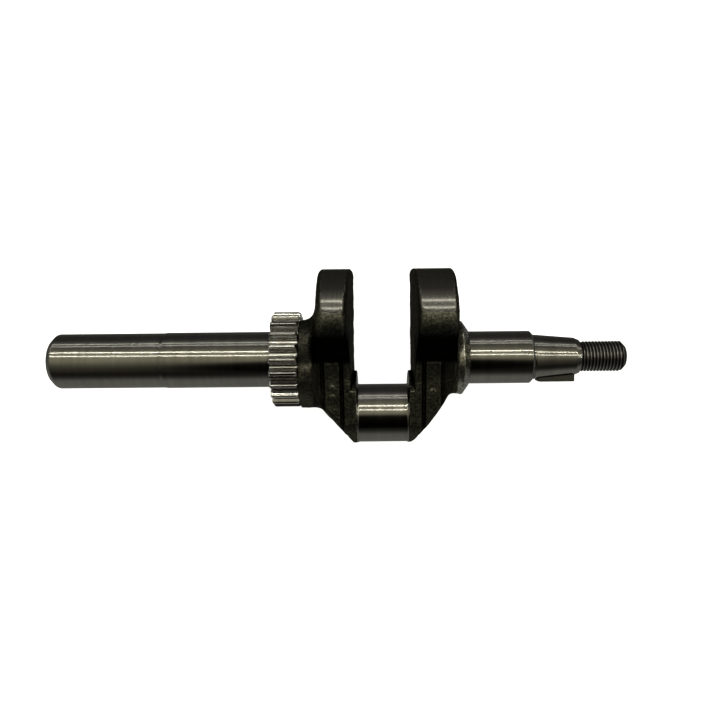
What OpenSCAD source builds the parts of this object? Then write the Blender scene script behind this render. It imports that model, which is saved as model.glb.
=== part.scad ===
// Crankshaft of a small single-cylinder engine, with its timing gear and flywheel key.
// The main axis is X and the origin is the shoulder where the flywheel journal begins.
// The crankpin hangs toward -Y, the counterweights stand toward +Y, and +Z is up.

/* [Power take-off shaft] */
// Diameter of the drive end
drive_d = 25; // [24:0.1:25.1]
// Length of the drive end
drive_len = 51; // [45:1:60]
// Bevel at the free end
drive_bevel = 2.4; // [0.5:0.1:3]
// Diameter of the bearing and seal track
bearing_d = 25.4; // [25.4:0.1:26]
// Length of the bearing and seal track
bearing_len = 50.2; // [30:0.1:70]
// Width of the keyway
keyway_w = 4.8; // [3:0.1:6]
// Depth of the keyway below the surface
keyway_depth = 2.9; // [1.5:0.1:4]
// Length of the keyway
keyway_len = 32; // [20:1:36]
// Distance from the free end to the keyway
keyway_from_end = 8; // [5:0.5:9]
// Radius of the tapped hole in the free end
tapped_r = 4.25; // [3:0.05:5]
// Depth of the tapped hole
tapped_depth = 32; // [20:1:38]

/* [Timing gear] */
// Number of teeth
gear_teeth = 22; // [20:1:24]
// Module, pitch diameter over teeth
gear_module = 1.8143; // [1.7:0.01:1.9]
// Width across the faces
gear_w = 12.2; // [8:0.1:15]
// Diameter of the bore and of its seat on the shaft
gear_bore_d = 26; // [26:0.1:28]
// Angle of one tooth past the upright direction, toward the crankpin
gear_phase = 1.3; // [0:0.1:16]
// Bevel round both faces
gear_bevel = 0.7; // [0.2:0.1:1]

/* [Webs and counterweights] */
// Throw, from the main axis to the crankpin axis
throw = 25; // [22:0.5:27]
// Radius of the counterweight rim
rim_r = 41; // [38:0.5:44]
// Half of the angle that the rim of the counterweight covers
fan_angle = 59; // [56:0.5:62]
// Radius of the forged corner between the rim and a flank
corner_r = 11.5; // [9:0.5:12]
// Angle between a flank and the middle of the counterweight
flank_lean = 57; // [54:1:60]
// Gap between the forged inner faces
web_gap = 26; // [24:0.5:28]
// Thickness of the web on the power take-off side, at the main axis
pto_web_t = 18.8; // [16:0.1:20]
// Thickness of its counterweight at the rim
pto_rim_t = 16.2; // [14:0.1:17]
// Thickness of the web and counterweight on the flywheel side
flywheel_web_t = 20; // [18:0.1:21]
// Radius of the web round the main axis
web_r = 19.5; // [18:0.5:21]
// Radius of the web round the crankpin
web_tip_r = 13.7; // [13.5:0.1:16]
// Draft of the forged faces, sideways travel for each millimetre of height
draft = 0.05; // [0.02:0.01:0.08]
// Radius of the forged collar beside the gear
gear_collar_r = 18; // [17.8:0.1:19]
// How far that collar reaches further toward the crankpin
gear_collar_drop = 4.2; // [1:0.1:5]
// Length of that collar
gear_collar_len = 5.5; // [3:0.1:8]
// Thickness of the raised die pad on the side of each web
pad_t = 0.6; // [0.3:0.1:1]

/* [Crankpin] */
// Diameter of the crankpin
pin_d = 26.5; // [24:0.1:26.5]
// Length between the two thrust lands
pin_len = 23.4; // [21:0.1:23.8]
// Fillet where the pin meets a land
pin_fillet = 0.4; // [0.1:0.1:0.4]
// Radius of the thrust lands round the crankpin axis
land_r = 19.4; // [17:0.1:21]

/* [Flywheel end] */
// Radius of the thrust collar
thrust_r = 17; // [16:0.1:18]
// Length of the thrust collar with its cone
thrust_len = 6.2; // [5:0.1:8]
// Length of the cone on the thrust collar
thrust_cone = 2.2; // [1.5:0.1:4]
// Diameter of the journal
journal_d = 24; // [22:0.1:25]
// Length of the journal
journal_len = 29; // [20:0.5:35]
// Large diameter of the taper
taper_d = 20.6; // [19:0.1:21.5]
// Length of the taper with its rounded nose
taper_len = 22; // [22:0.5:30]
// Length of the nose at the small end of the taper
nose_len = 3.2; // [2:0.1:4]
// Outer diameter of the thread
thread_d = 14; // [12:0.5:15]
// Pitch of the thread
thread_pitch = 1.5; // [1.25:0.25:2]
// Length of the threaded end
thread_len = 20.9; // [15:0.1:25]

/* [Flywheel key] */
// Length of the key
key_len = 17; // [14:0.5:18]
// Width of the key
key_w = 5; // [3:0.1:6]
// Diameter of the disc that the key is cut from
key_disc_d = 25; // [22:0.5:28]
// Distance from the main axis to the flat top of the key
key_top = 11.7; // [10.5:0.1:12]
// Height of the key
key_h = 7.5; // [5:0.1:8]
// Distance from the shoulder of the journal to the key
key_from_journal = 2.6; // [2:0.1:3]

/* [Hidden] */
$fn = 96;

ground_steel = [0.50, 0.48, 0.44];
gear_steel = [0.66, 0.64, 0.59];
forged_steel = [0.16, 0.15, 0.13];
thread_steel = [0.30, 0.29, 0.27];

// Places along the main axis
flywheel_web_out = -thrust_len;
flywheel_web_in = flywheel_web_out - flywheel_web_t;
pto_web_in = flywheel_web_in - web_gap;
pin_x = (pto_web_in + flywheel_web_in) / 2;
pto_web_out = pto_web_in - pto_web_t;
pto_rim_out = pto_web_in - pto_rim_t;
gear_right = pto_web_out - gear_collar_len;
gear_left = gear_right - gear_w;
drive_right = gear_left - bearing_len;
drive_left = drive_right - drive_len;
taper_right = journal_len + taper_len;
thread_right = taper_right + thread_len;

// How far the die pads run down from the main axis
pad_drop = 30;
// A length that reaches past every web
reach = 60;

// Points on an arc of a circle
function arc(c, r, from, to, n) =
    [for (i = [0:n]) c + r * [cos(from + (to - from) * i / n), sin(from + (to - from) * i / n)]];

// Turns a drawing so that its height runs along the main axis
module turned(x = 0, y = 0)
    translate([x, y, 0]) rotate([0, 90, 0]) rotate_extrude() children();

// Extrudes an end view, drawn as [y, z], along the main axis
module end_view(x0, x1)
    translate([x0, 0, 0]) rotate([90, 0, 90]) linear_extrude(x1 - x0) children();

// Extrudes a side view, drawn as [x, y], through the whole height
module side_view() linear_extrude(2 * reach, center = true) children();

// Keeps what lies between two drafted faces, which come closer away from the parting plane
module drafted(x0, x1)
    rotate([90, 0, 0]) linear_extrude(2 * reach, center = true) polygon([
        [x0, 0], [x0 + draft * reach, -reach], [x1 - draft * reach, -reach],
        [x1, 0], [x1 - draft * reach, reach], [x0 + draft * reach, reach]
    ]);

// End view of a web: two circles joined by their tangents, cut where the counterweight begins
module web_outline(proud = 0) {
    r0 = web_r + proud;
    r1 = web_tip_r + proud;
    lean = (r0 - r1) / throw;
    side = sqrt(1 - lean * lean);
    tip = [-throw, 0];
    circle(r0);
    translate(tip) circle(r1);
    polygon([
        r0 * [-lean, side], tip + r1 * [-lean, side],
        tip + r1 * [-lean, -side], r0 * [-lean, -side]
    ]);
}

// End view of a counterweight: a sector of the rim, two round corners, and flanks down to the web
module fan_outline() {
    centre = (rim_r - corner_r) * [cos(fan_angle), sin(fan_angle)];
    touch = centre + corner_r * [-sin(flank_lean), cos(flank_lean)];
    foot = touch[1] - touch[0] * tan(flank_lean);
    intersection() {
        circle(rim_r);
        polygon([[0, 0], 3 * [centre[0], -centre[1]], 3 * centre]);
    }
    translate(centre) circle(corner_r);
    translate([centre[0], -centre[1]]) circle(corner_r);
    polygon([
        [0, -foot], [touch[0], -touch[1]], [centre[0], -centre[1]],
        centre, touch, [0, foot]
    ]);
}

// The machined face beside the crankpin
module thrust_land(x0, x1)
    end_view(x0, x1) intersection() {
        web_outline();
        translate([-throw, 0]) circle(land_r);
    }

// The raised pads that the dies leave on both sides of a web
module die_pads(x0, x1)
    end_view(x0, x1) intersection() {
        web_outline(pad_t);
        translate([-pad_drop, -reach]) square([pad_drop, 2 * reach]);
    }

module pto_drive_end() color(ground_steel) {
    r = drive_d / 2;
    slot_x = drive_left + keyway_from_end + keyway_w / 2;
    difference() {
        turned(drive_left) polygon([
            [0, 0], [r - drive_bevel, 0], [r, drive_bevel], [r, drive_len], [0, drive_len]
        ]);
        // Tapped hole with a bevelled mouth
        turned(drive_left) polygon([
            [0, -1], [tapped_r + 2.5, -1], [tapped_r, 1.5],
            [tapped_r, tapped_depth], [0, tapped_depth + tapped_r / 2]
        ]);
        // Keyway with round ends, underneath
        translate([slot_x, 0, -r - 1]) {
            cylinder(h = keyway_depth + 1, d = keyway_w);
            translate([keyway_len - keyway_w, 0, 0]) cylinder(h = keyway_depth + 1, d = keyway_w);
            translate([0, -keyway_w / 2, 0]) cube([keyway_len - keyway_w, keyway_w, keyway_depth + 1]);
        }
    }
}

module pto_journal() color(ground_steel) {
    r = bearing_d / 2;
    seat = gear_bore_d / 2;
    turned(drive_right) polygon([
        [0, 0], [r, 0], [r, bearing_len], [seat, bearing_len],
        [seat, bearing_len + gear_w], [0, bearing_len + gear_w]
    ]);
}

// Involute angle, in degrees, for a pressure angle
function involute(a) = (tan(a) - a * PI / 180) * 180 / PI;

module timing_gear() color(gear_steel) {
    pitch_r = gear_module * gear_teeth / 2;
    base_r = pitch_r * cos(20);
    tip_r = pitch_r + gear_module;
    root_r = pitch_r - 1.25 * gear_module;
    steps = 5;
    half = 90 / gear_teeth + involute(20);
    flank = [for (i = [0:steps])
        let (r = base_r + (tip_r - base_r) * i / steps)
            [r, half - involute(acos(base_r / r))]];
    side = concat([[root_r, half]], flank);
    outline = [for (t = [0:gear_teeth - 1])
        let (mid = 90 + gear_phase + t * 360 / gear_teeth)
            each concat(
                [for (i = [0:steps + 1]) side[i][0] * [cos(mid - side[i][1]), sin(mid - side[i][1])]],
                [for (i = [steps + 1:-1:0]) side[i][0] * [cos(mid + side[i][1]), sin(mid + side[i][1])]]
            )];
    difference() {
        intersection() {
            end_view(gear_left, gear_right) polygon(outline);
            turned(gear_left) polygon([
                [0, 0], [tip_r - gear_bevel, 0], [tip_r + 0.1, gear_bevel + 0.1],
                [tip_r + 0.1, gear_w - gear_bevel - 0.1], [tip_r - gear_bevel, gear_w], [0, gear_w]
            ]);
        }
        turned(gear_left - 1) square([gear_bore_d / 2, gear_w + 2]);
    }
}

module gear_collar() color(forged_steel)
    end_view(gear_right, pto_web_out) {
        circle(gear_collar_r);
        translate([-gear_collar_drop, 0]) circle(gear_collar_r);
        translate([-gear_collar_drop, -gear_collar_r]) square([gear_collar_drop, 2 * gear_collar_r]);
    }

module pto_web() color(forged_steel) {
    shoulder_y = -gear_collar_r - gear_collar_drop;
    tip_y = -throw - web_tip_r;
    intersection() {
        union() {
            end_view(pto_web_out, pto_web_in) web_outline();
            die_pads(pto_web_out + 5, pto_web_out + 12);
        }
        drafted(pto_web_out, pto_web_in);
        side_view() polygon([
            [pto_web_in, 0], [pto_web_out, 0], [pto_web_out, shoulder_y],
            [pto_web_out + 4, shoulder_y - 0.8], [pto_web_in - 1, tip_y + 1], [pto_web_in, tip_y]
        ]);
    }
    thrust_land(pto_web_in - 1.5, pin_x - pin_len / 2);
}

module pto_counterweight() color(forged_steel)
    intersection() {
        end_view(pto_web_out, pto_web_in) fan_outline();
        drafted(pto_web_out, pto_web_in);
        side_view() polygon([
            [pto_web_in, 0], [pto_web_in, rim_r], [pto_rim_out + 1.8, rim_r], [pto_rim_out, rim_r - 2.4],
            [pto_web_out + 0.8, rim_r - 12], [pto_web_out, gear_collar_r], [pto_web_out, 0]
        ]);
    }

module crankpin() color(ground_steel) {
    r = pin_d / 2;
    turned(pin_x - pin_len / 2, -throw) polygon(concat(
        [[0, 0], [r + pin_fillet, 0]],
        arc([r + pin_fillet, pin_fillet], pin_fillet, 270, 180, 6),
        arc([r + pin_fillet, pin_len - pin_fillet], pin_fillet, 180, 90, 6),
        [[0, pin_len]]
    ));
}

module flywheel_web() color(forged_steel) {
    tip_y = -throw - web_tip_r;
    // The outer side is a shallow arc from the thrust collar down to the tip
    bow_r = 75;
    bow_x = pin_x - 36;
    bow_y = 18.3;
    intersection() {
        union() {
            end_view(flywheel_web_in, flywheel_web_out) web_outline();
            die_pads(flywheel_web_in + 5, flywheel_web_in + 12);
        }
        drafted(flywheel_web_in, flywheel_web_out);
        side_view() intersection() {
            translate([bow_x, bow_y]) circle(bow_r, $fn = 200);
            translate([flywheel_web_in, tip_y]) square([flywheel_web_t, -tip_y]);
        }
    }
    thrust_land(pin_x + pin_len / 2, flywheel_web_in + 1.5);
}

module flywheel_counterweight() color(forged_steel)
    intersection() {
        end_view(flywheel_web_in, flywheel_web_out) fan_outline();
        drafted(flywheel_web_in, flywheel_web_out);
        side_view() polygon([
            [flywheel_web_in, 0], [flywheel_web_out, 0],
            [flywheel_web_out, rim_r - 2.4], [flywheel_web_out - 1.8, rim_r], [flywheel_web_in, rim_r]
        ]);
    }

module thrust_collar() color(forged_steel)
    turned(flywheel_web_out) polygon([
        [0, 0], [thrust_r, 0], [thrust_r, thrust_len - thrust_cone],
        [journal_d / 2 + 0.6, thrust_len], [0, thrust_len]
    ]);

module flywheel_journal() color(ground_steel)
    turned() polygon([
        [0, 0], [journal_d / 2, 0], [journal_d / 2, journal_len - 0.6],
        [journal_d / 2 - 0.6, journal_len], [0, journal_len]
    ]);

// The outline of the key, and of the slot it sits in, as a side view
module key_side(top) {
    x0 = journal_len + key_from_journal;
    bottom = key_top - key_h;
    intersection() {
        translate([x0 + key_len / 2, -bottom - key_disc_d / 2]) circle(d = key_disc_d);
        translate([x0, -top]) square([key_len, top]);
    }
}

module flywheel_taper() color(ground_steel) {
    cone_len = taper_len - nose_len;
    r0 = taper_d / 2;
    // One in six on the diameter
    r1 = r0 - cone_len / 12;
    difference() {
        turned(journal_len) polygon([
            [0, 0], [r0, 0], [r1, cone_len], [r1 - 0.5, cone_len + 0.7],
            [thread_d / 2 + 0.1, taper_len], [0, taper_len]
        ]);
        linear_extrude(key_w, center = true) key_side(key_top + 5);
    }
}

module threaded_end() color(thread_steel) {
    r = thread_d / 2 - 0.05;
    root_r = thread_d / 2 - 0.6134 * thread_pitch;
    neck = 1.2;
    bevel = 1.4;
    turns = floor((thread_len - neck) / thread_pitch);
    p = thread_pitch;
    turned(taper_right) intersection() {
        polygon(concat(
            [[0, 0], [root_r, 0]],
            [for (i = [0:turns - 1]) each [
                [root_r, neck + (i + 0.125) * p], [r, neck + (i + 0.4375) * p],
                [r, neck + (i + 0.5625) * p], [root_r, neck + (i + 0.875) * p]
            ]],
            [[root_r, thread_len], [0, thread_len]]
        ));
        polygon([[0, 0], [r, 0], [r, thread_len - bevel], [r - bevel, thread_len], [0, thread_len]]);
    }
}

module flywheel_key() color(gear_steel)
    linear_extrude(key_w, center = true) key_side(key_top);

pto_drive_end();
pto_journal();
timing_gear();
gear_collar();
pto_web();
pto_counterweight();
crankpin();
flywheel_web();
flywheel_counterweight();
thrust_collar();
flywheel_journal();
flywheel_taper();
threaded_end();
flywheel_key();
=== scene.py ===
"""The looks of the crankshaft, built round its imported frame.

Every shape is in millimetres in the row's own frame until make_piece turns it into metres.
X is the main axis, the crankpin hangs toward -Y, and +Z faces the camera.
"""

import itertools
import math

import bpy
import numpy as np
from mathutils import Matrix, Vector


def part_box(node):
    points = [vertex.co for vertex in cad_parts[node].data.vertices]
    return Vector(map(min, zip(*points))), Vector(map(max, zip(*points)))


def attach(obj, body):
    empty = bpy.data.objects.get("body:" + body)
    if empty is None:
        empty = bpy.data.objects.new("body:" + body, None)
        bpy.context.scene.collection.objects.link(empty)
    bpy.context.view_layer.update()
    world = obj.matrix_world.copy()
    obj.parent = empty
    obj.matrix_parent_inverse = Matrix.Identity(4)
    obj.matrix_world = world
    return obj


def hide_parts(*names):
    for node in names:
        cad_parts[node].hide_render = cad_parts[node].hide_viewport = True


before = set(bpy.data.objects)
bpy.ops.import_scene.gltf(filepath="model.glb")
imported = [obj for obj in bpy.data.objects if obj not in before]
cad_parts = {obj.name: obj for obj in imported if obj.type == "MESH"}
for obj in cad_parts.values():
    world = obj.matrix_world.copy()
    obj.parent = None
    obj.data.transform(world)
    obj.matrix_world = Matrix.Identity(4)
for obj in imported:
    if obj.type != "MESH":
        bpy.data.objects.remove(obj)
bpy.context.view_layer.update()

MM = 0.001


def span(node):
    """Lowest and highest corner of a CAD node, in millimetres."""
    low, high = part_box(node)
    return np.array(low) / MM, np.array(high) / MM


# Driving dimensions, all read from the frame
DRIVE = span("pto_drive_end")
TRACK = span("pto_journal")
GEAR = span("timing_gear")
COLLAR = span("gear_collar")
PTO_RIM = span("pto_counterweight")
PIN = span("crankpin")
THRUST = span("thrust_collar")
JOURNAL = span("flywheel_journal")
TAPER = span("flywheel_taper")
THREAD = span("threaded_end")
KEY = span("flywheel_key")

PIN_X = (PIN[0][0] + PIN[1][0]) / 2
THROW = -(PIN[0][1] + PIN[1][1]) / 2
RIM_R = PTO_RIM[1][1]
FLOOR_Z = PTO_RIM[0][2]


# ---------------------------------------------------------------- meshes


def make_piece(name, points, faces, crease=35):
    """A mesh object from points in millimetres, smooth but for edges sharper than crease degrees."""
    mesh = bpy.data.meshes.new(name)
    mesh.from_pydata((np.asarray(points, float) * MM).tolist(), [], [list(face) for face in faces])
    mesh.validate()
    mesh.polygons.foreach_set("use_smooth", [True] * len(mesh.polygons))
    mesh.set_sharp_from_angle(angle=math.radians(crease))
    piece = bpy.data.objects.new(name, mesh)
    bpy.context.scene.collection.objects.link(piece)
    return piece


def rounded(corners, steps=5, hold=0.06):
    """A profile with its corners rounded. Each corner is (x, r, rounding), and a row held close
    to each end of an arc keeps the flats beside it flat."""
    rows = []
    for i, (x, r, size) in enumerate(corners):
        if size == 0 or i in (0, len(corners) - 1):
            rows.append((x, r))
            continue
        here = np.array([x, r])
        back = np.array(corners[i - 1][:2]) - here
        ahead = np.array(corners[i + 1][:2]) - here
        back /= np.linalg.norm(back)
        ahead /= np.linalg.norm(ahead)
        half = math.acos(np.clip(back @ ahead, -1, 1)) / 2
        reach = size / math.tan(half)
        middle = (back + ahead) / np.linalg.norm(back + ahead) * size / math.sin(half) + here
        start, end = here + back * reach - middle, here + ahead * reach - middle
        turn = math.pi - 2 * half
        rows.append(tuple(here + back * (reach + hold)))
        for step in range(steps + 1):
            t = step / steps
            a, b = math.sin((1 - t) * turn) / math.sin(turn), math.sin(t * turn) / math.sin(turn)
            rows.append(tuple(middle + a * start + b * end))
        rows.append(tuple(here + ahead * (reach + hold)))
    return rows


def turned(name, rows, around=0.0, segments=144, crease=35):
    """A closed solid turned round the line y = around. Each row is (x, r), where r may be an array
    with one radius for each segment, and the first and last rows lie on the axis."""
    angles = np.arange(segments) * 2 * math.pi / segments
    points = [(rows[0][0], around, 0.0)]
    for x, r in rows[1:-1]:
        r = np.broadcast_to(r, angles.shape)
        x = np.broadcast_to(x, angles.shape)
        ring = np.stack([x, around + r * np.cos(angles), r * np.sin(angles)], 1)
        points += [tuple(p) for p in ring]
    points.append((rows[-1][0], around, 0.0))
    last = len(points) - 1
    rings = len(rows) - 2
    faces = []
    for s in range(segments):
        t = (s + 1) % segments
        faces.append((0, 1 + t, 1 + s))
        for ring in range(rings - 1):
            a, b = 1 + ring * segments, 1 + (ring + 1) * segments
            faces.append((a + s, a + t, b + t, b + s))
        a = 1 + (rings - 1) * segments
        faces.append((last, a + s, a + t))
    return make_piece(name, points, faces, crease)


def prism(name, outline, low, high, bevel=0.3):
    """An outline in x and y, extruded along z from low to high, with its edges bevelled."""
    outline = np.asarray(outline, float)
    n = len(outline)
    ahead = np.roll(outline, -1, 0) - outline
    behind = outline - np.roll(outline, 1, 0)
    ahead /= np.linalg.norm(ahead, axis=1)[:, None]
    behind /= np.linalg.norm(behind, axis=1)[:, None]
    normal = np.stack([ahead[:, 1] + behind[:, 1], -ahead[:, 0] - behind[:, 0]], 1)
    normal /= np.linalg.norm(normal, axis=1)[:, None]
    levels = [(low, bevel), (low + bevel, 0), (high - bevel, 0), (high, bevel)]
    points = [(*(outline[i] - normal[i] * inset), z) for z, inset in levels for i in range(n)]
    faces = [tuple(range(n))[::-1], tuple(range(3 * n, 4 * n))]
    for level in range(3):
        a, b = level * n, (level + 1) * n
        faces += [(a + i, a + (i + 1) % n, b + (i + 1) % n, b + i) for i in range(n)]
    return make_piece(name, points, faces, crease=30)


def carve(piece, cutter):
    """Takes the cutter's volume out of the piece, and removes the cutter."""
    cut = piece.modifiers.new("carve", "BOOLEAN")
    cut.operation = "DIFFERENCE"
    cut.solver = "EXACT"
    cut.object = cutter
    shape = bpy.data.meshes.new_from_object(piece.evaluated_get(bpy.context.evaluated_depsgraph_get()))
    piece.modifiers.clear()
    piece.data = shape
    shape.name = piece.name
    bpy.data.objects.remove(cutter)


# ---------------------------------------------------------------- forged webs


def smooth_min(a, b, k):
    """The union of two fields, with a fillet about k wide."""
    h = np.clip(0.5 + 0.5 * (b - a) / k, 0, 1)
    return b + (a - b) * h - k * h * (1 - h)


def smooth_max(a, b, k):
    """The overlap of two fields, with its edge rounded over about k."""
    return -smooth_min(-a, -b, k)


def round_max(a, b, r):
    """The overlap of two fields, with its edge rounded to radius r where they meet square."""
    inside = np.minimum(np.maximum(a, b), -r)
    return inside + np.hypot(np.maximum(a + r, 0), np.maximum(b + r, 0))


def smooth_step(low, high, value):
    t = np.clip((value - low) / (high - low), 0, 1)
    return t * t * (3 - 2 * t)


def grain(x, y, z, seed, count, short, long):
    """Smooth noise between about -1 and 1 with wavelengths from short to long, in millimetres."""
    rng = np.random.default_rng(seed)
    total = np.zeros(np.broadcast(x, y, z).shape)
    for _ in range(count):
        way = rng.normal(size=3)
        way *= 2 * math.pi / rng.uniform(short, long) / np.linalg.norm(way)
        total += np.sin(way[0] * x + way[1] * y + way[2] * z + rng.uniform(0, 2 * math.pi))
    return total / math.sqrt(count)


def tapered_outline(y, z, r0, r1, drop):
    """Distance to two circles on the line z = 0, drop apart toward -y, joined by their tangents."""
    lean = (r0 - r1) / drop
    side = math.sqrt(1 - lean * lean)
    across, along = np.abs(z), -y
    k = -lean * across + side * along
    upper = np.hypot(across, along) - r0
    lower = np.hypot(across, along - drop) - r1
    flank = side * across + lean * along - r0
    return np.where(k < 0, upper, np.where(k > side * drop, lower, flank))


class Web:
    """One forged web with its counterweight. u is the distance from the crankpin's middle, outward."""

    inner = 13.0            # forged inner face, at the parting plane
    land = 11.7             # machined land beside the crankpin
    land_r = 19.4
    plate_r = 19.5          # half width of the plate at the main axis
    tip_r = 13.7            # and round the crankpin
    draft = 0.06
    skin = 0.6              # forging left outside the machined rim
    flank_foot = -0.7       # where the fan's flank would meet the plate's side
    flank_lean = 57         # how steep the flank is, in degrees
    corner_r = 10.5         # forged corner between the flank and the rim

    def __init__(self, name, side, end, seed):
        self.name, self.side, self.end, self.seed = name, side, end, seed

    def side_relief(self, u, y):
        """How far the die pad and the strip beside the crankpin stand out of the plate's sides."""
        pad = smooth_step(18.5, 19.1, u) * smooth_step(25.6, 25.0, u) * smooth_step(-1.6, -2.6, y)
        strip = smooth_step(17.6, 17.0, u)
        groove = smooth_step(16.9, 17.5, u) * smooth_step(19.0, 18.4, u)
        outer = smooth_step(25.2, 25.8, u) * smooth_step(27.6, 26.8, u)
        return 0.5 * pad + 0.3 * strip - 0.8 * (groove + outer) * smooth_step(1, -1, y)

    def marks(self, u, y, z):
        """Plain round dots raised on the die pad facing up."""
        height = np.zeros(np.broadcast(u, y, z).shape)
        for mark_y in self.mark_ys:
            height = np.maximum(height, smooth_step(1.35, 0.95, np.hypot(u - 22.0, y - mark_y)))
        return 0.4 * height * (z > 0)

    def plan(self, y, z):
        """The forging seen along the main axis: the plate, blended into a fan with round corners."""
        plate = tapered_outline(y, z, self.plate_r, self.tip_r, THROW)
        lean = math.radians(self.flank_lean)
        flank = math.cos(lean) * (np.abs(z) - self.plate_r) - math.sin(lean) * (y - self.flank_foot)
        fan = round_max(np.hypot(y, z) - RIM_R - self.skin, flank, self.corner_r)
        return smooth_min(plate, fan, 7.0)

    def forging(self, u, y, z):
        """Outside the forging as it leaves the dies, which part at z = 0."""
        height = np.abs(z)
        radius = np.hypot(y, z)
        edge = 1.4 + 2.2 * smooth_step(20, 30, radius)
        body = self.plan(y, z) - self.side_relief(u, y) - self.marks(u, y, z)
        body = round_max(body, u - self.out(radius) + self.out_draft * height, edge)
        slope = self.outer_slope(u, y) + 0.10 * height
        body = smooth_max(body, slope, 2.0)
        body = round_max(body, self.inner + self.draft * height - u, edge)
        body = smooth_min(body, self.collar(u, y, z), 1.8 + self.fillet * smooth_step(-2, 8, y))
        # The boss that the thrust land is machined on
        plate = tapered_outline(y, z, self.plate_r, self.tip_r, THROW)
        boss = np.maximum(np.hypot(y + THROW, z) - self.land_r, plate + 0.15)
        boss = smooth_max(boss, self.land - 0.5 - u, 0.4)
        boss = np.maximum(boss, slope)
        body = np.minimum(body, np.maximum(boss, u - self.inner - 2.5))
        waves = 0.10 * grain(u, y, z, self.seed, 14, 6, 14)
        return body + waves + 0.045 * grain(u, y, z, self.seed + 1, 22, 1.4, 3.2)

    def cuts(self, u, y, z):
        """Outside what the lathe and the grinder leave: rim, land and the seat of the next part."""
        rim = np.hypot(y, z) - RIM_R
        return np.maximum(np.maximum(rim, self.land - u), u - self.end)

    def solid(self, x, y, z):
        """The finished web, below 0 inside."""
        u = (x - PIN_X) * self.side
        return np.maximum(self.forging(u, y, z), self.cuts(u, y, z))

    def painted_shade(self, u, y, z):
        """Painted shade, 1 under the counterweight and in the grooves and 0 in the open, where the
        forging material turns the skin near black.
        """
        under = smooth_step(14, 8, y) * smooth_step(-4, -1, y) * smooth_step(15, 19, np.abs(z))
        groove = smooth_step(17.1, 17.6, u) * smooth_step(18.8, 18.3, u)
        groove += smooth_step(25.2, 25.6, u) * smooth_step(27.2, 26.6, u)
        beside = 0.5 * smooth_step(25.8, 26.6, u) * smooth_step(32.0, 31.0, u)
        return np.maximum(under, np.maximum(0.85 * groove, beside) * smooth_step(0, -2, y))

    def machined(self, x, y, z):
        """1 on machined faces and 0 on the forging skin."""
        u = (x - PIN_X) * self.side
        return smooth_step(-0.03, 0.03, self.cuts(u, y, z) - self.forging(u, y, z))


class PtoWeb(Web):
    """The web beside the timing gear, with a forged collar that reaches down toward the crankpin."""

    mark_ys = (-13.0, -17.0)
    out_draft = 0.05
    fillet = 4.0

    def out(self, radius):
        return 33.0 - 0.1 * radius

    def collar(self, u, y, z):
        low = COLLAR[0][1] + COLLAR[1][1]
        reach = np.hypot(y - np.clip(y, low, 0), z) - COLLAR[1][1]
        return smooth_max(np.maximum(reach, 28 - u), u - self.end - 0.3, 1.2)

    def outer_slope(self, u, y):
        """Outside the flat that slants from the collar's foot to the crankpin, at 43 degrees."""
        return 0.731 * (u - 27.3) - 0.682 * (y + 23.0) - 0.45


class FlywheelWeb(Web):
    """The web beside the flywheel journal, whose outer side is a shallow arc."""

    mark_ys = (-15.0,)
    out_draft = 0.03
    fillet = 0.0

    def out(self, radius):
        return 33.0 + 0 * radius

    def collar(self, u, y, z):
        reach = np.hypot(y, z) - THRUST[1][1] + 0.4
        return np.maximum(reach, np.maximum(30 - u, u - self.end))

    def outer_slope(self, u, y):
        """Outside an arc of 75 mm."""
        return np.hypot(u + 36.0, y - 18.3) - 75.0


def surface_net(solid, low, high, step):
    """Quads round the zero level of a solid's field, with every point moved onto that level."""
    low = np.asarray(low, float)
    axes = [np.arange(a, b + step, step) for a, b in zip(low, high)]
    field = solid(*np.meshgrid(*axes, indexing="ij"))
    inside = field < 0
    n = field.shape
    full = sum(
        inside[i : n[0] - 1 + i, j : n[1] - 1 + j, k : n[2] - 1 + k].astype(np.int8)
        for i, j, k in itertools.product((0, 1), repeat=3)
    )
    cells = np.argwhere((full > 0) & (full < 8))
    index = np.full(full.shape, -1)
    index[tuple(cells.T)] = np.arange(len(cells))
    total, hits = np.zeros((len(cells), 3)), np.zeros(len(cells))
    for axis in range(3):
        for p, q in itertools.product((0, 1), repeat=2):
            start = np.zeros(3, int)
            start[[a for a in range(3) if a != axis]] = p, q
            end = start.copy()
            end[axis] = 1
            a, b = field[tuple((cells + start).T)], field[tuple((cells + end).T)]
            cross = (a < 0) != (b < 0)
            t = a[cross] / (a[cross] - b[cross])
            total[cross] += start + t[:, None] * (end - start)
            hits[cross] += 1
    points = low + (cells + total / hits[:, None]) * step
    faces = []
    for axis in range(3):
        b, c = np.eye(3, dtype=int)[(axis + 1) % 3], np.eye(3, dtype=int)[(axis + 2) % 3]
        ahead = np.roll(inside, -1, axis)
        edges = np.argwhere(inside != ahead)
        limits = np.array(n) - 1
        edges = edges[(edges >= b + c).all(1) & (edges < limits).all(1)]
        quads = np.stack([index[tuple((edges - off).T)] for off in (0 * b, b, b + c, c)], 1)
        outward = inside[tuple(edges.T)]
        faces += [quads[outward], quads[~outward][:, ::-1]]
    faces = np.concatenate(faces)
    for _ in range(4):
        points -= step_to_level(solid, points, step)
    return points, faces


def slope_of(solid, points, nudge=0.02):
    """The gradient of a field at each point."""
    slope = np.empty_like(points)
    for axis in range(3):
        shift = np.zeros(3)
        shift[axis] = nudge
        slope[:, axis] = (solid(*(points + shift).T) - solid(*(points - shift).T)) / (2 * nudge)
    return slope


def step_to_level(solid, points, step):
    """The Newton step from each point to the zero level, at most half a grid step long."""
    slope = slope_of(solid, points)
    steepness = np.maximum((slope**2).sum(1), 0.2)
    move = slope * (solid(*points.T) / steepness)[:, None]
    length = np.linalg.norm(move, axis=1)
    return move * np.minimum(1, 0.5 * step / np.maximum(length, 1e-9))[:, None]


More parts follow.
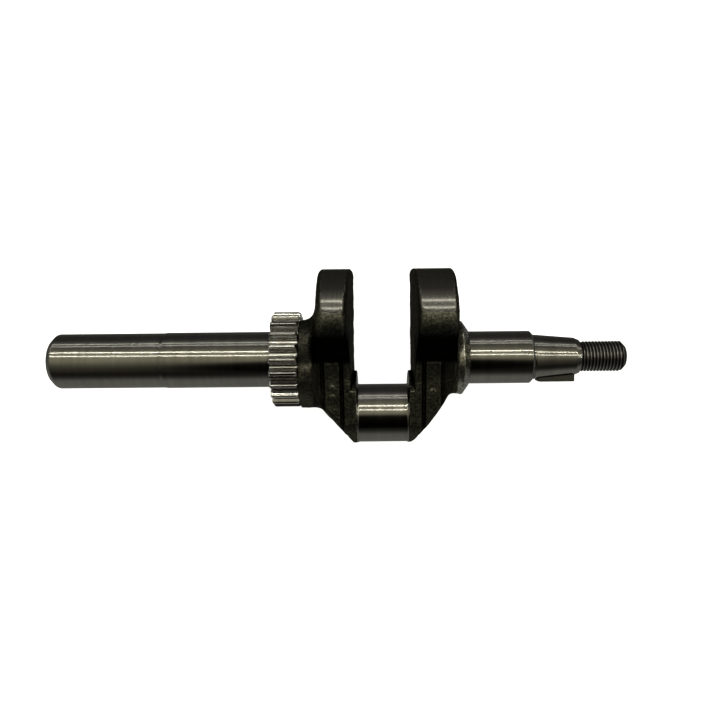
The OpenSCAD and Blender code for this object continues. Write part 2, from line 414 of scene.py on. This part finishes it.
def overhung(solid, points):
    """How much the solid itself closes in on each point, from 0 in the open to 1."""
    outward = slope_of(solid, points, 0.4)
    outward /= np.linalg.norm(outward, axis=1)[:, None]
    hidden = sum(1 - solid(*(points + outward * reach).T) / reach for reach in (2.5, 5, 9)) / 3
    return np.clip(1.6 * hidden - 0.1, 0, 1)


def forged_web(web, low, high):
    """A web as a mesh, with the two attributes that its material reads at each point."""
    step = 0.5
    points, faces = surface_net(web.solid, low, high, step)
    piece = make_piece(web.name, points, faces, crease=50)
    x, y, z = points.T
    # Painted shade: high under the counterweight, in the grooves and where the solid closes in on
    # itself
    painted_shade = np.maximum(web.painted_shade((x - PIN_X) * web.side, y, z), overhung(web.solid, points))
    for name, values in (("machined", web.machined(x, y, z)), ("painted_shade", painted_shade)):
        layer = piece.data.attributes.new(name, "FLOAT", "POINT")
        layer.data.foreach_set("value", values.astype(np.float32))
    return piece


def make_webs():
    margin = 2.0
    pto = PtoWeb("pto_web_forging", -1, PIN_X - COLLAR[0][0], seed=11)
    fly = FlywheelWeb("flywheel_web_forging", 1, THRUST[0][0] + 0.8 - PIN_X, seed=23)
    edge = RIM_R + margin
    made = []
    for web in (pto, fly):
        near, far = PIN_X + web.side * (web.land - margin), PIN_X + web.side * (web.end + margin)
        low = [min(near, far), -THROW - web.tip_r - margin, -edge]
        made.append(forged_web(web, low, [max(near, far), edge, edge]))
    return made


# ---------------------------------------------------------------- shafts


def thread_depth(phase, root_flat=0.25, crest_flat=0.14):
    """How deep a 60 degree thread is at a phase from 0 to 1, from 0 on the crest to 1 in the root."""
    away = np.abs((phase % 1) - 0.5) * 2
    ramp = (away - crest_flat) / (1 - crest_flat - root_flat)
    return smooth_step(0, 1, np.clip(ramp, 0, 1)) * 0.35 + np.clip(ramp, 0, 1) * 0.65


def threaded_rows(x0, x1, r, pitch, segments, outside=True, runout=1.2, steps=14):
    """Rows of a helical thread between x0 and x1, which rises out of its root over runout at x0."""
    angles = np.arange(segments) / segments
    depth = 0.58 * pitch
    rows = []
    for x in np.arange(x0, x1, pitch / steps):
        cut = depth * thread_depth(x / pitch - angles)
        if runout:
            cut += (depth - cut) * smooth_step(x0 + runout, x0 + 0.3 * runout, x)
        rows.append((x, r - cut if outside else r + depth - cut))
    return rows


def drive_end():
    """The free end of the shaft, with its bevel, bolt hole and keyway."""
    (x0, _, _), (x1, r, _) = DRIVE
    segments = 144
    hole_r, hole_depth, mouth = 4.25, 32.0, 1.5
    pitch = 25.4 / 24
    start, stop = x0 + mouth + 1, x0 + hole_depth - 4
    inside = [(x0 + hole_depth + 2.1, 0), (x0 + hole_depth, hole_r - 0.02)]
    inside += threaded_rows(start, stop, hole_r, pitch, segments, outside=False, runout=0)[::-1]
    inside += [(x0 + mouth + 0.6, hole_r + 0.55)]
    outline = [(x0 + mouth, hole_r + 0.6, 0.0), (x0, hole_r + 2.4, 0.3), (x0, r - 2.6, 0.9)]
    outline += [(x0 + 2.6, r, 2.0), (x1, r, 0.0)]
    rows = inside + rounded(outline) + [(x1, 0)]
    piece = turned("pto_shaft_drive_end", rows, segments=segments)
    slot_x, slot_len, slot_w, slot_depth = x0 + 8, 32.0, 4.8, 2.9
    cutter = key_slot(slot_x, slot_x + slot_len, slot_w, -r - 1, -r + slot_depth)
    carve(piece, cutter)
    return piece


def key_slot(x0, x1, width, low, high, steps=16):
    """A bar with round ends, along the main axis."""
    outline = []
    for centre, start in ((x1 - width / 2, -90), (x0 + width / 2, 90)):
        for i in range(steps + 1):
            a = math.radians(start + 180 * i / steps)
            outline.append((centre + width / 2 * math.cos(a), width / 2 * math.sin(a)))
    return prism("key_slot", outline, low, high, bevel=0.05)


def bearing_track():
    """The ground shaft between the drive end and the gear, with the gear's seat."""
    (x0, _, _), (x1, seat, _) = TRACK
    r, shoulder = 12.7, GEAR[0][0]
    outline = [(x0, 0, 0), (x0, DRIVE[1][1] - 0.03, 0), (x0 + 1.2, r, 0.8), (shoulder + 0.02, r, 0.0)]
    outline += [(shoulder + 0.3, seat, 0.1), (x1 - 0.3, seat, 0.1), (x1, seat - 0.3, 0), (x1, 0, 0)]
    return turned("pto_shaft_bearing_track", rounded(outline))


def crankpin():
    """The ground crankpin. Its fillets stop at the outline of the webs round it."""
    segments, fillet = 160, 1.1
    (x0, _, _), (x1, _, _) = PIN
    r = 13.25
    up = np.cos(np.arange(segments) * 2 * math.pi / segments)
    limit = 13.62 + 1.2 * smooth_step(0.15, 0.6, up)
    steps = 7
    arc = [math.pi / 2 * i / steps for i in range(steps + 1)]
    left = [(x0 + fillet * (1 - math.cos(a)), r + fillet * (1 - math.sin(a))) for a in arc]
    right = [(x0 + x1 - x, radius) for x, radius in left[::-1]]
    rows = [(x0, 0)] + [(x, np.minimum(radius, limit)) for x, radius in left]
    rows += [(x0 + fillet + 0.1, r), (x1 - fillet - 0.1, r)]
    rows += [(x, np.minimum(radius, limit)) for x, radius in right] + [(x1, 0)]
    return turned("crankpin_journal", rows, around=-THROW, segments=segments)


def thrust_collar():
    """The turned collar beside the flywheel journal, a short rim and a hollow cone."""
    (x0, _, _), (x1, r, _) = THRUST
    foot = JOURNAL[1][1] + 0.5
    outline = [(x0 + 0.3, 0, 0), (x0 + 0.3, r - 0.6, 0), (x1 - 3.1, r, 0.8)]
    outline += [(x1 - 0.4, foot + 0.7, 1.0), (x1, foot, 0), (x1, 0, 0)]
    return turned("thrust_collar_turned", rounded(outline))


def flywheel_journal():
    """The ground journal, with a bevel at its small end."""
    (x0, _, _), (x1, r, _) = JOURNAL
    outline = [(x0, 0, 0), (x0, r, 0), (x1 - 0.9, r, 0.5), (x1, r - 0.9, 0.3), (x1, 0, 0)]
    return turned("flywheel_journal_ground", rounded(outline))


def taper():
    """The taper, its rounded nose and the slot for the key."""
    (x0, _, _), (x1, r, _) = TAPER
    neck = THREAD[1][1]
    cone_end = x1 - 2.5
    small = r - (cone_end - x0) / 12
    outline = [(x0, 0, 0), (x0, r - 0.25, 0), (x0 + 0.8, r - 0.25, 0.1), (x0 + 1.0, r - 0.06, 0.1)]
    outline += [(cone_end, small, 1.5), (x1 - 0.2, neck + 0.8, 0.3), (x1, neck + 0.1, 0.0)]
    outline += [(x1, 0, 0)]
    piece = turned("flywheel_taper_ground", rounded(outline))
    cutter = prism("slot", key_outline(0.06), KEY[0][2] - 0.04, KEY[1][2] + 0.04, bevel=0.02)
    carve(piece, cutter)
    return piece


def threaded_end():
    """The flywheel nut's thread, with its bevel and a small centre in the end."""
    (x0, _, _), (x1, r, _) = THREAD
    pitch, bevel, segments = 1.5, 2.0, 128
    rows = [(x0, 0)]
    for x, radius in threaded_rows(x0, x1 - 0.25, r, pitch, segments):
        limit = r - max(0.0, x - (x1 - bevel))
        rows.append((x, np.minimum(radius, limit)))
    face = r - bevel
    rows += [(x1 - 0.12, face + 0.02), (x1, face - 0.1), (x1, 2.2), (x1 - 1.8, 0.3), (x1 - 1.9, 0)]
    return turned("threaded_end_helix", rows, segments=segments, crease=50)


# ---------------------------------------------------------------- gear and key


GEAR_TEETH = 22
GEAR_BORE = 26.0
KEY_DISC_R = 12.5


def key_outline(grow=0.0, steps=40):
    """Side view of the key: part of a disc with a flat top, bevelled at the taper's large end.
    Its seat in the taper is the same outline, larger by grow."""
    (x0, y0, _), (x1, y1, _) = KEY
    middle, half = (x0 + x1) / 2, (x1 - x0) / 2
    edge_angle = math.asin(half / KEY_DISC_R)
    centre_y, r = y1 - KEY_DISC_R, KEY_DISC_R + grow
    points = []
    for i in range(steps + 1):
        a = edge_angle * (1 - 2 * i / steps)
        points.append((middle + r * math.sin(a), centre_y + r * math.cos(a)))
    flat = y0 + 0.25 - grow
    ends = [(x0 - grow, flat + 0.7), (x0 + 1.4, flat), (x1 - 0.35, flat), (x1 + grow, flat + 0.35)]
    return points + ends


def involute(angle):
    return math.tan(angle) - angle


def gear_outline(tip_r, steps=9):
    """The root radius and the outline of the teeth, whose points are (radius, angle)."""
    phase, pressure = math.radians(1.3), math.radians(20)
    module = tip_r / (GEAR_TEETH / 2 + 1)
    root_r = tip_r - 2.25 * module
    base_r = module * GEAR_TEETH / 2 * math.cos(pressure)
    half = math.pi / 2 / GEAR_TEETH + involute(pressure)
    # One flank from the root fillet to the rounded tip, by its angle from the tooth's middle
    flank = [(root_r, half + 0.028), (root_r + 0.16, half + 0.010), (root_r + 0.45, half)]
    for i in range(steps + 1):
        r = base_r + (tip_r - base_r) * (i / steps)
        flank.append((r, half - involute(math.acos(base_r / r))))
    r, a = flank.pop()
    flank += [(r - 0.18, a + 0.004), (r - 0.05, a - 0.004), (r, a - 0.012)]
    outline = []
    for tooth in range(GEAR_TEETH):
        middle = math.pi / 2 + phase + tooth * 2 * math.pi / GEAR_TEETH
        outline += [(r, middle - a) for r, a in flank] + [(r, middle + a) for r, a in flank[::-1]]
    return root_r, outline


def timing_gear():
    """A spur gear with involute teeth, its tips bevelled at both faces, and its bore."""
    (x0, _, _), (x1, *reach) = GEAR
    tip_r, bore_r, bevel = max(reach), GEAR_BORE / 2, 0.7
    root_r, outline = gear_outline(tip_r)
    radius, angle = np.array(outline).T
    n = len(outline)
    # Each ring is (x, cap), where cap is the largest radius there
    rings = [(x0, tip_r - bevel), (x0 + bevel * 0.5, tip_r - bevel * 0.42), (x0 + bevel, tip_r)]
    rings += [(x1 - bevel, tip_r), (x1 - bevel * 0.5, tip_r - bevel * 0.42), (x1, tip_r - bevel)]
    points, faces = [], []
    for x, cap in rings:
        r = np.minimum(radius, cap)
        points += list(zip(np.full(n, x), r * np.cos(angle), r * np.sin(angle)))
    for ring in range(len(rings) - 1):
        a, b = ring * n, (ring + 1) * n
        faces += [(a + i, a + (i + 1) % n, b + (i + 1) % n, b + i) for i in range(n)]
    last = (len(rings) - 1) * n
    # Side faces step in from the teeth to the bore, with one point for each outline point
    sides = [(root_r - 0.5, 0.0), (root_r - 1.0, 0.25), (bore_r + 1.0, 0.25)]
    sides += [(bore_r + 0.7, 0.0), (bore_r + 0.4, 0.0), (bore_r, 0.4)]
    edges = []
    for start, face_x, inward in ((0, x0, 1), (last, x1, -1)):
        before = start
        for r, sunk in sides:
            here = len(points)
            x = face_x + inward * sunk
            points += list(zip(np.full(n, x), r * np.cos(angle), r * np.sin(angle)))
            quads = [(before + i, before + (i + 1) % n, here + (i + 1) % n, here + i) for i in range(n)]
            faces += quads if inward < 0 else [q[::-1] for q in quads]
            before = here
        edges.append(before)
    a, b = edges
    faces += [(a + i, b + i, b + (i + 1) % n, a + (i + 1) % n) for i in range(n)]
    return make_piece("timing_gear_cut", points, faces, crease=28)


def flywheel_key():
    return prism("flywheel_key_plain", key_outline(), KEY[0][2], KEY[1][2], bevel=0.25)


# ---------------------------------------------------------------- materials


def add_node(tree, kind, links=None, **values):
    """A node with its settings. links gives each input either a socket to follow or a value."""
    made = tree.nodes.new(kind)
    for key, value in values.items():
        setattr(made, key, value)
    for socket, source in (links or {}).items():
        if isinstance(source, bpy.types.NodeSocket):
            tree.links.new(source, made.inputs[socket])
        else:
            made.inputs[socket].default_value = source
    return made


class Look:
    """A node material whose shader starts as plain metal."""

    def __init__(self, name, color, roughness, metallic=1.0):
        self.material = bpy.data.materials.new(name)
        self.material.use_nodes = True
        self.tree = self.material.node_tree
        self.shader = self.tree.nodes["Principled BSDF"]
        self.set("Base Color", (*color, 1))
        self.set("Roughness", roughness)
        self.set("Metallic", metallic)
        self.place = self.node("ShaderNodeTexCoord").outputs["Object"]

    def set(self, socket, value):
        self.shader.inputs[socket].default_value = value

    def node(self, kind, links=None, **values):
        return add_node(self.tree, kind, links, **values)

    def link(self, source, socket):
        self.tree.links.new(source, self.shader.inputs[socket])

    def noise(self, scale, detail=3.0, rough=0.55):
        """Noise whose scale may differ along x, y and z, in repeats a metre."""
        spread = self.node("ShaderNodeMapping", {"Vector": self.place, "Scale": scale})
        links = {"Vector": spread.outputs[0], "Scale": 1.0, "Detail": detail, "Roughness": rough}
        return self.node("ShaderNodeTexNoise", links).outputs["Fac"]

    def ramp(self, value, low, high, start, end):
        links = {"Value": value, "From Min": low, "From Max": high, "To Min": start, "To Max": end}
        return self.node("ShaderNodeMapRange", links).outputs["Result"]

    def math(self, operation, a, b=0.0):
        return self.node("ShaderNodeMath", {0: a, 1: b}, operation=operation).outputs[0]

    def blend(self, value, a, b):
        """From a to b as value goes from 0 to 1. Both are colours or sockets."""
        start, end = ((*tone, 1) if isinstance(tone, tuple) else tone for tone in (a, b))
        mixed = self.node("ShaderNodeMix", {0: value, 6: start, 7: end}, data_type="RGBA")
        return mixed.outputs[2]

    def bump(self, height, distance, under=None):
        links = {"Height": height, "Distance": distance, "Strength": 1.0}
        if under is not None:
            links["Normal"] = under
        return self.node("ShaderNodeBump", links).outputs["Normal"]


RINGS = 1 / (0.22 * MM)      # fine grinding rings, in repeats a metre
AROUND = 1 / (25 * MM)


def ground_steel():
    """Ground shafts: fine rings round the axis, broad bands of tone and a trace of oil."""
    look = Look("ground_steel", (0.30, 0.297, 0.27), 0.12)
    fine = look.noise((RINGS, AROUND, AROUND), 2)
    bands = look.noise((1 / (3.5 * MM), 1 / (60 * MM), 1 / (60 * MM)), 4)
    smear = look.noise((1 / (30 * MM), 1 / (9 * MM), 1 / (9 * MM)), 4)
    tone = look.math("ADD", look.math("MULTIPLY", bands, 0.5), look.math("MULTIPLY", smear, 0.5))
    spread = look.ramp(tone, 0.35, 0.65, 0, 1)
    look.link(look.blend(spread, (0.26, 0.257, 0.232), (0.34, 0.336, 0.305)), "Base Color")
    banded = look.ramp(bands, 0.3, 0.7, 0.10, 0.15)
    oiled = look.ramp(smear, 0.3, 0.7, -0.01, 0.03)
    look.link(look.math("ADD", banded, oiled), "Roughness")
    look.link(look.bump(fine, 0.0015 * MM), "Normal")
    return look.material


def forged_steel():
    """Forging skin, dark and finely grained, with painted shade that turns it near black under the
    counterweight, in the grooves and where the solid closes in on itself. It gives way to turned metal
    where the mesh says so."""
    look = Look("forged_steel", (0.08, 0.08, 0.06), 0.34)
    look.set("Specular Tint", (0.35, 0.35, 0.33, 1))
    grit = look.noise((1 / (1.1 * MM),) * 3, 4, 0.6)
    lumps = look.noise((1 / (5 * MM),) * 3, 3)
    skin = look.blend(look.ramp(grit, 0.35, 0.68, 0, 1), (0.07, 0.07, 0.053), (0.20, 0.20, 0.155))
    painted_shade = look.node("ShaderNodeAttribute", None, attribute_name="painted_shade").outputs["Fac"]
    # Painted shade: the skin goes near black where the shade attribute is high
    skin = look.blend(painted_shade, skin, (0.006, 0.006, 0.005))
    turned_rings = look.noise((1 / (0.5 * MM), AROUND, AROUND), 2)
    bare = look.blend(look.ramp(turned_rings, 0.3, 0.7, 0, 1), (0.31, 0.30, 0.26), (0.37, 0.355, 0.31))
    machined = look.node("ShaderNodeAttribute", None, attribute_name="machined").outputs["Fac"]
    look.link(look.blend(machined, skin, bare), "Base Color")
    skin_rough = look.ramp(lumps, 0.3, 0.7, 0.29, 0.40)
    gap = look.math("SUBTRACT", 0.13, skin_rough)
    look.link(look.math("ADD", skin_rough, look.math("MULTIPLY", gap, machined)), "Roughness")
    unmachined = look.math("SUBTRACT", 1.0, machined)
    skin_bump = look.bump(look.math("MULTIPLY", grit, unmachined), 0.30 * MM)
    ring_height = look.math("MULTIPLY", turned_rings, machined)
    look.link(look.bump(ring_height, 0.003 * MM, under=skin_bump), "Normal")
    return look.material


def turned_steel():
    """Rough turning over forging skin: uneven rings with bright torn spots."""
    look = Look("turned_steel", (0.16, 0.15, 0.13), 0.32)
    rings = look.noise((1 / (0.6 * MM), 1 / (6 * MM), 1 / (6 * MM)), 4, 0.7)
    torn = look.noise((1 / (1.0 * MM),) * 3, 4, 0.65)
    bright = look.ramp(torn, 0.35, 0.65, 0, 1)
    look.link(look.blend(bright, (0.17, 0.168, 0.14), (0.56, 0.55, 0.48)), "Base Color")
    look.link(look.ramp(torn, 0.3, 0.7, 0.14, 0.30), "Roughness")
    both = look.math("ADD", look.math("MULTIPLY", rings, 0.4), look.math("MULTIPLY", torn, 0.6))
    look.link(look.bump(both, 0.06 * MM), "Normal")
    return look.material


def gear_steel():
    """Cut gear: bright, with fine marks along the teeth."""
    look = Look("gear_steel", (0.46, 0.44, 0.39), 0.2)
    marks = look.noise((1 / (0.4 * MM), 1 / (6 * MM), 1 / (6 * MM)), 2)
    spots = look.noise((1 / (2.5 * MM),) * 3, 4)
    bright = look.ramp(spots, 0.35, 0.65, 0, 1)
    look.link(look.blend(bright, (0.46, 0.455, 0.43), (0.56, 0.555, 0.525)), "Base Color")
    look.link(look.ramp(spots, 0.3, 0.7, 0.16, 0.24), "Roughness")
    look.link(look.bump(marks, 0.002 * MM), "Normal")
    return look.material


def thread_steel():
    """Rolled thread, darkened, with a painted highlight that makes it brighter along the crests."""
    look = Look("thread_steel", (0.12, 0.115, 0.11), 0.28)
    spots = look.noise((1 / (1.5 * MM),) * 3, 4)
    apart = look.node("ShaderNodeSeparateXYZ", {"Vector": look.place})
    flat = look.node("ShaderNodeCombineXYZ", {"Y": apart.outputs["Y"], "Z": apart.outputs["Z"]})
    reach = look.node("ShaderNodeVectorMath", {0: flat.outputs[0]}, operation="LENGTH").outputs["Value"]
    # Painted highlight: the colour brightens from the roots toward the crests
    crest = look.ramp(reach, 6.45 * MM, 6.9 * MM, 0, 1)
    look.link(look.blend(crest, (0.08, 0.078, 0.076), (0.44, 0.43, 0.40)), "Base Color")
    look.link(look.ramp(spots, 0.3, 0.7, 0.28, 0.40), "Roughness")
    return look.material


def key_steel():
    """Plain key steel with a drawn grain."""
    look = Look("key_steel", (0.2, 0.19, 0.175), 0.34)
    drawn = look.noise((1 / (12 * MM), 1 / (0.4 * MM), 1 / (0.4 * MM)), 3)
    look.link(look.blend(drawn, (0.055, 0.055, 0.048), (0.10, 0.10, 0.09)), "Base Color")
    look.link(look.ramp(drawn, 0.3, 0.7, 0.28, 0.42), "Roughness")
    look.link(look.bump(drawn, 0.012 * MM), "Normal")
    return look.material


def paper():
    """The backdrop, bright on its own so that only a soft shadow shows on it."""
    look = Look("pale_paper", (0.86, 0.86, 0.86), 0.75, metallic=0.0)
    fibre = look.noise((1 / (4 * MM),) * 3, 3)
    look.link(look.blend(fibre, (0.84, 0.84, 0.84), (0.88, 0.88, 0.88)), "Base Color")
    look.set("Emission Color", (1, 1, 1, 1))
    look.set("Emission Strength", 0.55)
    return look.material


# ---------------------------------------------------------------- stage, light and camera


# Brightness of the room by the angle from overhead, positive toward +Y
ROOM = [
    (-180, 0.15), (-112, 0.26), (-92, 0.25), (-84, 0.18), (-76, 0.10), (-68, 0.045), (-56, 0.025),
    (-34, 0.09), (-22, 0.15), (-12, 0.25), (0, 0.40), (10, 0.42), (26, 0.42), (44, 0.26), (58, 0.16),
    (66, 0.22), (76, 0.30), (84, 0.17), (96, 0.07), (120, 0.06), (180, 0.14),
]
ROOM_WARM = (1.0, 0.95, 0.76)
ROOM_PLAIN = (1.0, 0.99, 0.95)


def make_floor():
    """The paper the crankshaft lies on."""
    half, gap = 1.6, 0.0002
    z = FLOOR_Z * MM - gap
    corners = [(-half, -half, z), (half, -half, z), (half, half, z), (-half, half, z)]
    mesh = bpy.data.meshes.new("floor")
    mesh.from_pydata(corners, [], [(0, 1, 2, 3)])
    floor = bpy.data.objects.new("floor", mesh)
    # The floor shows and takes shadows, but the steel doesn't mirror it
    floor.visible_glossy = False
    floor.visible_diffuse = False
    bpy.context.scene.collection.objects.link(floor)
    mesh.materials.append(paper())


def tube(name, lean, slant, power):
    """A long thin lamp over the main axis, leaning from overhead toward +Y and slanted to the axis,
    both in degrees."""
    lamp = bpy.data.lights.new(name, "AREA")
    lamp.shape = "RECTANGLE"
    lamp.size, lamp.size_y = 7.0, 0.03
    lamp.energy, lamp.color = power, ROOM_PLAIN
    holder = bpy.data.objects.new(name, lamp)
    distance, angle = 1.5, math.radians(lean)
    holder.location = (PIN_X * MM, distance * math.sin(angle), distance * math.cos(angle))
    holder.rotation_mode = "ZYX"
    holder.rotation_euler = (-angle, 0, math.radians(-slant))
    bpy.context.scene.collection.objects.link(holder)


def make_room():
    """A soft room that changes with height, and a plain pale backdrop for the camera."""
    world = bpy.data.worlds.new("room")
    bpy.context.scene.world = world
    world.use_nodes = True
    tree = world.node_tree
    tree.nodes.clear()

    def node(kind, links=None, **values):
        return add_node(tree, kind, links, **values)

    way = node("ShaderNodeTexCoord").outputs["Generated"]
    apart = node("ShaderNodeSeparateXYZ", {0: way}).outputs
    lean = node("ShaderNodeMath", {0: apart["Y"], 1: apart["Z"]}, operation="ARCTAN2").outputs[0]
    share = node("ShaderNodeMapRange", {"Value": lean, "From Min": -math.pi, "From Max": math.pi})
    ramp = node("ShaderNodeValToRGB", {0: share.outputs["Result"]})
    stops = ramp.color_ramp.elements
    while len(stops) > 1:
        stops.remove(stops[-1])
    for i, (angle, value) in enumerate(ROOM):
        stop = stops[0] if i == 0 else stops.new((angle + 180) / 360)
        stop.position = (angle + 180) / 360
        tone = ROOM_WARM if -60 < angle < 50 else ROOM_PLAIN
        stop.color = (*(value * c for c in tone), 1)
    # Toward the shaft's own ends the room is even
    ends = node("ShaderNodeMath", {0: apart["X"], 1: 8}, operation="POWER").outputs[0]
    even_tone = (0.16, 0.16, 0.145, 1)
    even = node("ShaderNodeMix", {0: ends, 6: ramp.outputs[0], 7: even_tone}, data_type="RGBA")
    # The camera and the person behind it leave a dark patch overhead
    narrow = node("ShaderNodeVectorMath", {0: way, 1: (1.7, 1.0, 1.0)}, operation="MULTIPLY")
    patch_links = {0: narrow.outputs[0], 1: (0.0, -0.53, 0.85)}
    patch = node("ShaderNodeVectorMath", patch_links, operation="DISTANCE").outputs["Value"]
    fade = {"Value": patch, "From Min": 0.36, "From Max": 0.58, "To Min": 0.04, "To Max": 1.0}
    dim = node("ShaderNodeMapRange", fade, interpolation_type="SMOOTHSTEP").outputs["Result"]
    lit = node("ShaderNodeBackground", {"Color": even.outputs[2], "Strength": dim})
    plain = node("ShaderNodeBackground", {"Color": (0.9, 0.9, 0.9, 1)})
    seen = node("ShaderNodeLightPath").outputs["Is Camera Ray"]
    either = node("ShaderNodeMixShader", {0: seen, 1: lit.outputs[0], 2: plain.outputs[0]})
    node("ShaderNodeOutputWorld", {"Surface": either.outputs[0]})


def make_lights():
    tube("lamp_near", 14, 11.5, 5.2)
    tube("lamp_far", 30, 10.5, 7.0)
    tube("lamp_low", 63.5, 0, 1.9)
    tube("lamp_lowest", 74.5, 0, 1.9)


def make_camera():
    """Straight above the main axis, as far away as the picture's perspective asks."""
    camera = bpy.data.cameras.new("camera")
    camera.lens, camera.sensor_width = 34.7, 36.0
    camera.shift_x, camera.shift_y = -0.025, 0.0
    holder = bpy.data.objects.new("camera", camera)
    height, roll = 0.320, math.radians(-0.57)
    holder.location = ((PIN_X - 2.0) * MM, -0.00077, height)
    holder.rotation_euler = (0, 0, roll)
    bpy.context.scene.collection.objects.link(holder)
    bpy.context.scene.camera = holder


# ---------------------------------------------------------------- assembly


def dress(piece, material, slot, *nodes):
    """Gives a piece its material, and lets it stand for its CAD nodes. slot is not used."""
    piece.data.materials.clear()
    piece.data.materials.append(material)
    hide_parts(*nodes)
    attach(piece, "root")


def make_crankshaft():
    ground, forged, turned_metal = ground_steel(), forged_steel(), turned_steel()
    pto_web, flywheel_web = make_webs()
    dress(drive_end(), ground, "ground_steel", "pto_drive_end")
    dress(bearing_track(), ground, "ground_steel", "pto_journal")
    dress(timing_gear(), gear_steel(), "gear_steel", "timing_gear")
    dress(pto_web, forged, "forged_steel", "gear_collar", "pto_web", "pto_counterweight")
    dress(crankpin(), ground, "ground_steel", "crankpin")
    dress(flywheel_web, forged, "forged_steel", "flywheel_web", "flywheel_counterweight")
    dress(thrust_collar(), turned_metal, "turned_steel", "thrust_collar")
    dress(flywheel_journal(), ground, "ground_steel", "flywheel_journal")
    dress(taper(), ground, "ground_steel", "flywheel_taper")
    dress(threaded_end(), thread_steel(), "thread_steel", "threaded_end")
    dress(flywheel_key(), key_steel(), "key_steel", "flywheel_key")


make_camera()
make_crankshaft()
make_floor()
make_room()
make_lights()
# A steeper tone curve than the plain one, as in the picture
view = bpy.context.scene.view_settings
view.view_transform = "Standard"
view.gamma = 0.8
view.exposure = 0.66
